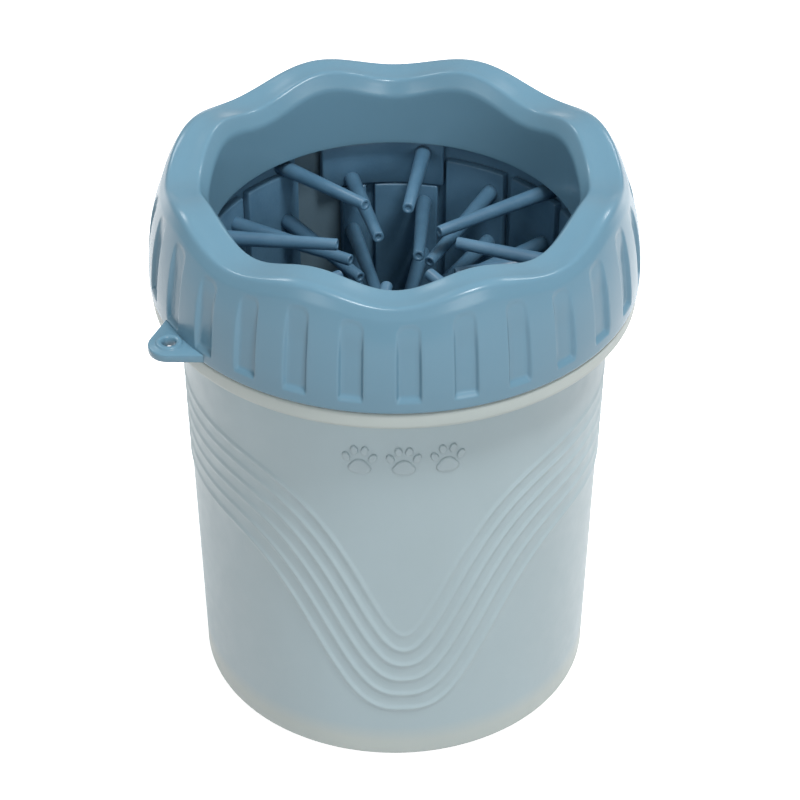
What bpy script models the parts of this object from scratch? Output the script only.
"""Paw washer cup: a milky cup, a wavy-rimmed screw collar, a seal ring and a soft brush insert.

Frame: metres, +Z up, origin at the centre of the cup's underside, the collar's hanging eyelet
at the front left. Radii and heights below are in millimetres and go through mm() on use.
An azimuth is in degrees, counter-clockwise from +X seen from above; the front is at 270.
"""
import math

import bmesh
import bpy
from mathutils import Matrix, Vector

# ---- driving dimensions ----------------------------------------------------------------------
TOTAL_HEIGHT = 134.2
COLLAR_RADIUS = 55.0
FIT_GAP = 0.35            # radial play between the insert and the cup wall
TOUCH_GAP = 0.3           # gap between solids that touch on the real object
FRONT = 270.0

# ---- cup -------------------------------------------------------------------------------------
WALL = 1.8
FLOOR_TOP = 2.2
BASE_RADIUS = 45.9        # outer radius just above the base fillet
BASE_FILLET = 3.0
SHOULDER_RADIUS = 48.4    # outer radius just under the flange
SHOULDER_Z = 101.5
FLANGE_RADIUS = 54.5
FLANGE_BOTTOM = 102.6
FLANGE_TOP = 106.5
NECK_OUTER = 49.0
NECK_INNER = SHOULDER_RADIUS - WALL
NECK_TOP = 122.0
FLOOR_CORNER = 1.5        # bevel between the floor and the wall, inside
CUP_STEPS = 60

# ---- thread ----------------------------------------------------------------------------------
THREAD_LEAD = 4.0
THREAD_TURNS = 2.0
THREAD_START_Z = 109.8    # axial middle of the cup's thread where it begins
THREAD_START_AZIMUTH = 30.0
THREAD_ROOT_WIDTH = 1.8
THREAD_CREST_WIDTH = 0.9
CUP_THREAD_CREST = 50.6
COLLAR_THREAD_CREST = 49.5
THREAD_STEPS_PER_TURN = 24
THREAD_RUNOUT_STEPS = 4

# ---- seal ring -------------------------------------------------------------------------------
SEAL_INNER = 46.9
SEAL_OUTER = 48.4
SEAL_HEIGHT = 1.6

# ---- screw collar ----------------------------------------------------------------------------
RIM_CRESTS = 8            # high points round the wavy rim, a low point at the front
RIM_WAVE = 1.8            # rise of the rim's top at a crest above its mean
COLLAR_BOTTOM = 107.1
COLLAR_BORE = 51.2        # inner radius of the skirt, behind the thread
THROAT_BOTTOM = 114.4
THROAT_RADIUS = 41.1
THROAT_WALL = 1.8
LIP_CEILING = 128.4       # roof of the hollow between the throat and the seal's seat
SEAL_SEAT = NECK_TOP + SEAL_HEIGHT + 2 * TOUCH_GAP
FLUTES = 28
FLUTE_DEPTH = 1.1
FLUTE_HALF_ANGLE = 2.55
FLUTE_SIDE_ANGLE = 0.55   # angle taken by each sloping side of a flute
FLUTE_PHASE = 3.2         # first flute, counter-clockwise from the front centre

# ---- hanging eyelet --------------------------------------------------------------------------
EYELET_AZIMUTH = 213.5
EYELET_CENTRE = 58.2
EYELET_TIP_RADIUS = 4.6
EYELET_FLARE = 33.5       # half angle between its two straight edges
EYELET_ROOT = 53.2
EYELET_THICKNESS = 2.0
EYELET_HOLE_RADIUS = 1.6
EYELET_RIM_RADIUS = 2.9
EYELET_RIM_HEIGHT = 0.5

# ---- brush insert ----------------------------------------------------------------------------
SLEEVE_BOTTOM = 4.4
SLEEVE_TOP = 113.8
SLEEVE_THICKNESS = 1.0
SLIT_END_AZIMUTH = 121.0  # left edge of the open slit, where the rolled strip begins
STRIP_SWEEP = 345.5       # angle that the rolled strip covers
PAD_COUNT = 15
PAD_PITCH = 22.5
PAD_SWEEP = 19.8
PAD_MARGIN = 0.4          # from the strip's edge to its first pad
PAD_THICKNESS = 1.7
PAD_BOTTOM = 8.0
PAD_TOP = 112.9
END_PAD_SWEEP = 7.6
COLUMN_IN_PAD = 4.6       # from a pad's first edge to its column of bristles
TONGUE_START = 74.6
TONGUE_SWEEP = 38.4
TONGUE_BOTTOM = 102.0
TONGUE_TOP = 113.5
SLEEVE_STEPS = 58
PAD_STEPS = 2             # few enough that no facet edge meets a bristle's root
TONGUE_STEPS = 3
BRISTLE_ROWS = 13
BRISTLE_TOP_ROW_Z = 110.8
BRISTLE_ROW_PITCH = 7.0
BRISTLE_TIP_R = 13.3      # distance of the tips from the cup's axis
BRISTLE_ROOT_RADIUS = 1.9
BRISTLE_TIP_RADIUS = 1.35
BRISTLE_SIDES = 6
BRISTLE_EMBED = 0.8

# ---- colours (linear RGB) --------------------------------------------------------------------
MILKY = (0.50, 0.56, 0.58)
STEEL_BLUE = (0.13, 0.27, 0.36)
SOFT_BLUE = (0.10, 0.22, 0.31)
SEAL_GREY = (0.62, 0.64, 0.62)


# ---- small helpers ---------------------------------------------------------------------------
def mm(value):
    return value * 0.001


def polar(radius, azimuth, z):
    """Point in metres at a radius, an azimuth and a height given in mm and degrees."""
    angle = math.radians(azimuth)
    return Vector((mm(radius) * math.cos(angle), mm(radius) * math.sin(angle), mm(z)))


def clear_scene():
    for obj in list(bpy.data.objects):
        bpy.data.objects.remove(obj, do_unlink=True)


def new_collection(name):
    collection = bpy.data.collections.new(name)
    bpy.context.scene.collection.children.link(collection)
    return collection


def make_material(name, color, roughness):
    material = bpy.data.materials.new(name)
    material.use_nodes = True
    shader = material.node_tree.nodes["Principled BSDF"]
    shader.inputs["Base Color"].default_value = (*color, 1.0)
    shader.inputs["Roughness"].default_value = roughness
    shader.inputs["Metallic"].default_value = 0.0
    return material


def add_object(name, mesh, collection, material=None):
    obj = bpy.data.objects.new(name, mesh)
    collection.objects.link(obj)
    if material is not None:
        mesh.materials.append(material)
    return obj


def add_cutter(name, mesh, collection):
    """An object that only takes part in Booleans; it is left out of the model."""
    obj = add_object(name, mesh, collection)
    obj.hide_render = True
    obj.display_type = "WIRE"
    return obj


def add_boolean(obj, other, operation):
    modifier = obj.modifiers.new(f"{operation.lower()} {other.name}", "BOOLEAN")
    modifier.operation = operation
    modifier.solver = "EXACT"
    modifier.object = other


def profile_mesh(name, points, closed=False):
    """Mesh of edges only, in the plane y = 0, through (radius, z) points in mm."""
    mesh = bpy.data.meshes.new(name)
    verts = [(mm(radius), 0.0, mm(z)) for radius, z in points]
    edges = [(i, i + 1) for i in range(len(points) - 1)]
    if closed:
        edges.append((len(points) - 1, 0))
    mesh.from_pydata(verts, edges, [])
    return mesh


def add_screw(obj, sweep, steps):
    modifier = obj.modifiers.new("turn", "SCREW")
    modifier.axis = "Z"
    modifier.angle = math.radians(sweep)
    modifier.steps = steps
    modifier.render_steps = steps
    modifier.use_merge_vertices = sweep == 360.0
    modifier.merge_threshold = 0.00001
    modifier.use_smooth_shade = True
    return modifier


def lofted_mesh(name, sections, closed):
    """Skin a list of equal-length point loops; closed joins the last loop to the first."""
    bm = bmesh.new()
    rings = [[bm.verts.new(point) for point in section] for section in sections]
    count = len(rings[0])
    last = len(rings) if closed else len(rings) - 1
    for i in range(last):
        ring, following = rings[i], rings[(i + 1) % len(rings)]
        for j in range(count):
            k = (j + 1) % count
            bm.faces.new((ring[j], ring[k], following[k], following[j]))
    if not closed:
        bm.faces.new(rings[0])
        bm.faces.new(list(reversed(rings[-1])))
    bmesh.ops.recalc_face_normals(bm, faces=bm.faces)
    mesh = bpy.data.meshes.new(name)
    bm.to_mesh(mesh)
    bm.free()
    mesh.shade_smooth()
    mesh.set_sharp_from_angle(angle=math.radians(40.0))
    return mesh


def cylinder_mesh(name, radius, centre, z_low, z_high, sides):
    """Upright cylinder about a centre point (metres in plan), heights in mm."""
    mesh = bpy.data.meshes.new(name)
    bm = bmesh.new()
    middle = Matrix.Translation((centre.x, centre.y, mm((z_low + z_high) / 2)))
    bmesh.ops.create_cone(bm, cap_ends=True, segments=sides, radius1=mm(radius), radius2=mm(radius),
                          depth=mm(z_high - z_low), matrix=middle)
    bm.to_mesh(mesh)
    bm.free()
    return mesh


# ---- cup -------------------------------------------------------------------------------------
def cup_outer_radius(z):
    """Outer radius of the tapered body at height z."""
    share = min(max((z - BASE_FILLET) / (SHOULDER_Z - BASE_FILLET), 0.0), 1.0)
    return BASE_RADIUS + (SHOULDER_RADIUS - BASE_RADIUS) * share


def cup_inner_radius(z):
    return cup_outer_radius(z) - WALL


def cup_profile():
    """From the middle of the floor up the inside, over the rim and down the outside."""
    rim = 0.4
    corner_z = FLOOR_TOP + FLOOR_CORNER
    inside = [(0.0, FLOOR_TOP), (cup_inner_radius(corner_z) - FLOOR_CORNER, FLOOR_TOP)]
    inside += [(cup_inner_radius(corner_z), corner_z), (NECK_INNER, SHOULDER_Z), (NECK_INNER, NECK_TOP - rim)]
    neck = [(NECK_INNER + rim, NECK_TOP), (NECK_OUTER - rim, NECK_TOP), (NECK_OUTER, NECK_TOP - rim)]
    neck.append((NECK_OUTER, FLANGE_TOP))
    flange = [(FLANGE_RADIUS - 0.7, FLANGE_TOP), (FLANGE_RADIUS, FLANGE_TOP - 0.7)]
    flange += [(FLANGE_RADIUS, FLANGE_BOTTOM + 0.9), (FLANGE_RADIUS - 0.9, FLANGE_BOTTOM)]
    flange += [(SHOULDER_RADIUS + 0.8, FLANGE_BOTTOM - 0.3), (SHOULDER_RADIUS, SHOULDER_Z)]
    base = []
    for step in range(4):
        angle = math.radians(30.0 * step)
        radius = BASE_RADIUS - BASE_FILLET + BASE_FILLET * math.cos(angle)
        base.append((radius, BASE_FILLET - BASE_FILLET * math.sin(angle)))
    return inside + neck + flange + base + [(0.0, 0.0)]


def thread_mesh(name, surface_radius, crest_radius, start_z):
    """Right-hand helical ridge on a wall, sinking into the wall at both of its ends."""
    outward = 1.0 if crest_radius > surface_radius else -1.0
    root = surface_radius - 0.25 * outward
    steps = round(THREAD_STEPS_PER_TURN * THREAD_TURNS)
    sections = []
    for step in range(steps + 1):
        runout = min(step, steps - step) / THREAD_RUNOUT_STEPS
        rise = min(runout, 1.0)
        crest = surface_radius - 0.08 * outward + (crest_radius - surface_radius + 0.08 * outward) * rise
        azimuth = THREAD_START_AZIMUTH + 360.0 * step / THREAD_STEPS_PER_TURN
        z = start_z + THREAD_LEAD * step / THREAD_STEPS_PER_TURN
        half_root, half_crest = THREAD_ROOT_WIDTH / 2, THREAD_CREST_WIDTH / 2
        corners = [(root, -half_root), (crest, -half_crest), (crest, half_crest), (root, half_root)]
        sections.append([polar(radius, azimuth, z + offset) for radius, offset in corners])
    return lofted_mesh(name, sections, closed=False)


def make_cup(parts, cutters):
    cup = add_object("cup", profile_mesh("cup", cup_profile()), parts, make_material("milky_pp", MILKY, 0.4))
    add_screw(cup, 360.0, CUP_STEPS)
    ridge = thread_mesh("cup_thread", NECK_OUTER, CUP_THREAD_CREST, THREAD_START_Z)
    add_boolean(cup, add_cutter("cup_thread", ridge, cutters), "UNION")


# ---- screw collar ----------------------------------------------------------------------------
def collar_profile():
    """Closed loop round the collar's wall as (z, radius, rise at a crest of the rim, in a flute)."""
    skirt_outside = [
        (COLLAR_BOTTOM, COLLAR_RADIUS - 0.3, 0.0, False),
        (COLLAR_BOTTOM + 0.6, COLLAR_RADIUS, 0.0, False),
        (COLLAR_BOTTOM + 2.7, COLLAR_RADIUS, 0.0, False),
        (COLLAR_BOTTOM + 3.0, COLLAR_RADIUS, 0.0, True),
        (118.5, 54.4, 0.0, True),
        (124.0, 53.4, 0.4, True),
        (127.9, 52.2, 1.1, True),
    ]
    lip = [
        (129.6, 51.6, 1.3, False),
        (132.5, 49.8, 1.5, False),
        (TOTAL_HEIGHT - RIM_WAVE, 46.5, RIM_WAVE, False),
        (TOTAL_HEIGHT - RIM_WAVE, 42.9, RIM_WAVE, False),
        (129.0, 40.8, 1.7, False),
    ]
    throat = [
        (THROAT_BOTTOM, THROAT_RADIUS, 0.0, False),
        (THROAT_BOTTOM, THROAT_RADIUS + THROAT_WALL, 0.0, False),
        (LIP_CEILING, THROAT_RADIUS + THROAT_WALL, 0.0, False),
    ]
    skirt_inside = [
        (LIP_CEILING, SEAL_INNER - 0.6, 0.0, False),
        (SEAL_SEAT, SEAL_INNER - 0.3, 0.0, False),
        (SEAL_SEAT, 50.4, 0.0, False),
        (NECK_TOP - 0.4, COLLAR_BORE, 0.0, False),
        (COLLAR_BOTTOM + 3.2, COLLAR_BORE, 0.0, False),
        (COLLAR_BOTTOM + 2.0, COLLAR_BORE + 1.2, 0.0, False),
        (COLLAR_BOTTOM, COLLAR_BORE + 1.2, 0.0, False),
    ]
    return skirt_outside + lip + throat + skirt_inside


def collar_azimuths():
    """Azimuths of the collar's sections: the four edges of every flute, with its depth there."""
    pitch = 360.0 / FLUTES
    for flute in range(FLUTES):
        centre = FRONT + FLUTE_PHASE + pitch * flute
        outer = FLUTE_HALF_ANGLE + FLUTE_SIDE_ANGLE
        for offset, depth in ((-outer, 0.0), (-FLUTE_HALF_ANGLE, 1.0), (FLUTE_HALF_ANGLE, 1.0), (outer, 0.0)):
            yield centre + offset, depth * FLUTE_DEPTH


def collar_mesh():
    sections = []
    for azimuth, depth in collar_azimuths():
        wave = -math.cos(math.radians(RIM_CRESTS * (azimuth - FRONT)))
        section = []
        for z, radius, rise, fluted in collar_profile():
            section.append(polar(radius - (depth if fluted else 0.0), azimuth, z + rise * wave))
        sections.append(section)
    return lofted_mesh("screw_collar", sections, closed=True)


def eyelet_outline():
    """Flat ear: a round tip and two straight edges that flare into the skirt."""
    points = []
    first = 90.0 - EYELET_FLARE
    arc_steps = 8
    for step in range(arc_steps + 1):
        angle = math.radians(first * (2.0 * step / arc_steps - 1.0))
        points.append((EYELET_CENTRE + EYELET_TIP_RADIUS * math.cos(angle), EYELET_TIP_RADIUS * math.sin(angle)))
    tangent_x, tangent_y = points[-1]
    reach = (tangent_x - EYELET_ROOT) * math.tan(math.radians(EYELET_FLARE))
    return points + [(EYELET_ROOT, tangent_y + reach), (EYELET_ROOT, -tangent_y - reach)]


def eyelet_mesh():
    turn = Matrix.Rotation(math.radians(EYELET_AZIMUTH), 4, "Z")
    sections = []
    for z in (COLLAR_BOTTOM + 0.1, COLLAR_BOTTOM + 0.1 + EYELET_THICKNESS):
        sections.append([turn @ Vector((mm(x), mm(y), mm(z))) for x, y in eyelet_outline()])
    return lofted_mesh("eyelet", sections, closed=False)


def make_collar(parts, cutters):
    collar = add_object("screw_collar", collar_mesh(), parts, make_material("blue_pp", STEEL_BLUE, 0.38))
    ridge = thread_mesh("collar_thread", COLLAR_BORE, COLLAR_THREAD_CREST, THREAD_START_Z + THREAD_LEAD / 2)
    add_boolean(collar, add_cutter("collar_thread", ridge, cutters), "UNION")
    add_boolean(collar, add_cutter("eyelet", eyelet_mesh(), cutters), "UNION")
    centre = polar(EYELET_CENTRE, EYELET_AZIMUTH, 0.0)
    top = COLLAR_BOTTOM + 0.1 + EYELET_THICKNESS
    rim = cylinder_mesh("eyelet_rim", EYELET_RIM_RADIUS, centre, top - 1.0, top + EYELET_RIM_HEIGHT, 20)
    add_boolean(collar, add_cutter("eyelet_rim", rim, cutters), "UNION")
    hole = cylinder_mesh("eyelet_hole", EYELET_HOLE_RADIUS, centre, COLLAR_BOTTOM - 2.0, top + 2.0, 20)
    add_boolean(collar, add_cutter("eyelet_hole", hole, cutters), "DIFFERENCE")


# ---- seal ring -------------------------------------------------------------------------------
def make_seal_ring(parts):
    """Square-section ring that lies on the rim of the neck, under the collar's lip."""
    low = NECK_TOP + TOUCH_GAP
    high = low + SEAL_HEIGHT
    section = [(SEAL_INNER, low), (SEAL_INNER, high), (SEAL_OUTER, high), (SEAL_OUTER, low)]
    ring = add_object("seal_ring", profile_mesh("seal_ring", section, closed=True), parts,
                      make_material("seal_rubber", SEAL_GREY, 0.6))
    add_screw(ring, 360.0, CUP_STEPS)


# ---- brush insert ----------------------------------------------------------------------------
def pad_outer_radius(z):
    return cup_inner_radius(z) - FIT_GAP - SLEEVE_THICKNESS - TOUCH_GAP


def curved_panel(name, parts, material, radius_at, heights, start, sweep, thickness, steps):
    """Panel that follows the cup's wall: an upright line, turned and thickened inwards."""
    line = [(radius_at(z), z) for z in sorted(heights, reverse=True)]
    panel = add_object(name, profile_mesh(name, line), parts, material)
    panel.rotation_euler.z = math.radians(start)
    add_screw(panel, sweep, steps)
    shell = panel.modifiers.new("thickness", "SOLIDIFY")
    shell.thickness = mm(thickness)
    shell.offset = -1.0
    shell.use_even_offset = True
    return panel


def bristle_mesh(name, roots):
    """Tapered bristles that point at the cup's axis, one for each (azimuth, z) root."""
    bm = bmesh.new()
    for azimuth, z in roots:
        root_r = pad_outer_radius(z) - PAD_THICKNESS + BRISTLE_EMBED
        length = root_r - BRISTLE_TIP_R
        turn = Matrix.Rotation(math.radians(azimuth), 4, "Z") @ Matrix.Rotation(math.radians(-90.0), 4, "Y")
        place = Matrix.Translation(polar(BRISTLE_TIP_R + length / 2, azimuth, z)) @ turn
        bmesh.ops.create_cone(bm, cap_ends=True, segments=BRISTLE_SIDES, radius1=mm(BRISTLE_ROOT_RADIUS),
                              radius2=mm(BRISTLE_TIP_RADIUS), depth=mm(length), matrix=place)
    mesh = bpy.data.meshes.new(name)
    bm.to_mesh(mesh)
    bm.free()
    return mesh


def row_heights(first_row):
    """Heights of every second row; neighbouring columns are staggered by one row."""
    return [BRISTLE_TOP_ROW_Z - BRISTLE_ROW_PITCH * row for row in range(first_row, BRISTLE_ROWS, 2)]


def add_bristles(panel, roots, cutters):
    name = f"{panel.name}_bristles"
    add_boolean(panel, add_cutter(name, bristle_mesh(name, roots), cutters), "UNION")


def make_brush_pads(parts, cutters, material):
    """Ribbed pads along the strip, each with one column of bristles."""
    first_pad = SLIT_END_AZIMUTH + PAD_MARGIN
    for index in range(PAD_COUNT + 1):
        start = first_pad + PAD_PITCH * index
        sweep = PAD_SWEEP if index < PAD_COUNT else END_PAD_SWEEP
        under_tongue = index >= PAD_COUNT - 1
        top = TONGUE_BOTTOM - TOUCH_GAP if under_tongue else PAD_TOP
        name = f"brush_pad_{index + 1:02d}"
        steps = PAD_STEPS if index < PAD_COUNT else 1
        pad = curved_panel(name, parts, material, pad_outer_radius, (PAD_BOTTOM, top), start, sweep,
                           PAD_THICKNESS, steps)
        heights = [z for z in row_heights(index % 2) if z < top - BRISTLE_ROOT_RADIUS]
        add_bristles(pad, [(start + COLUMN_IN_PAD, z) for z in heights], cutters)


def make_closure_tongue(parts, cutters, material):
    """Raised band at the strip's end that closes the roll above the last two pads."""
    tongue = curved_panel("closure_tongue", parts, material, pad_outer_radius, (TONGUE_BOTTOM, TONGUE_TOP),
                          TONGUE_START, TONGUE_SWEEP, PAD_THICKNESS, TONGUE_STEPS)
    columns = [SLIT_END_AZIMUTH + PAD_MARGIN + COLUMN_IN_PAD + PAD_PITCH * index - 360.0
               for index in (PAD_COUNT - 1, PAD_COUNT)]
    roots = [(columns[0], BRISTLE_TOP_ROW_Z), (columns[1], BRISTLE_TOP_ROW_Z - BRISTLE_ROW_PITCH)]
    add_bristles(tongue, roots, cutters)


def make_insert(parts, cutters):
    material = make_material("blue_tpr", SOFT_BLUE, 0.5)

    def sleeve_radius(z):
        return cup_inner_radius(z) - FIT_GAP

    heights = (SLEEVE_BOTTOM, SHOULDER_Z, SLEEVE_TOP)
    curved_panel("insert_sleeve", parts, material, sleeve_radius, heights, SLIT_END_AZIMUTH, STRIP_SWEEP,
                 SLEEVE_THICKNESS, SLEEVE_STEPS)
    make_brush_pads(parts, cutters, material)
    make_closure_tongue(parts, cutters, material)


def main():
    clear_scene()
    parts = new_collection("paw_washer_cup")
    cutters = new_collection("cutters")
    make_cup(parts, cutters)
    make_collar(parts, cutters)
    make_seal_ring(parts)
    make_insert(parts, cutters)


main()
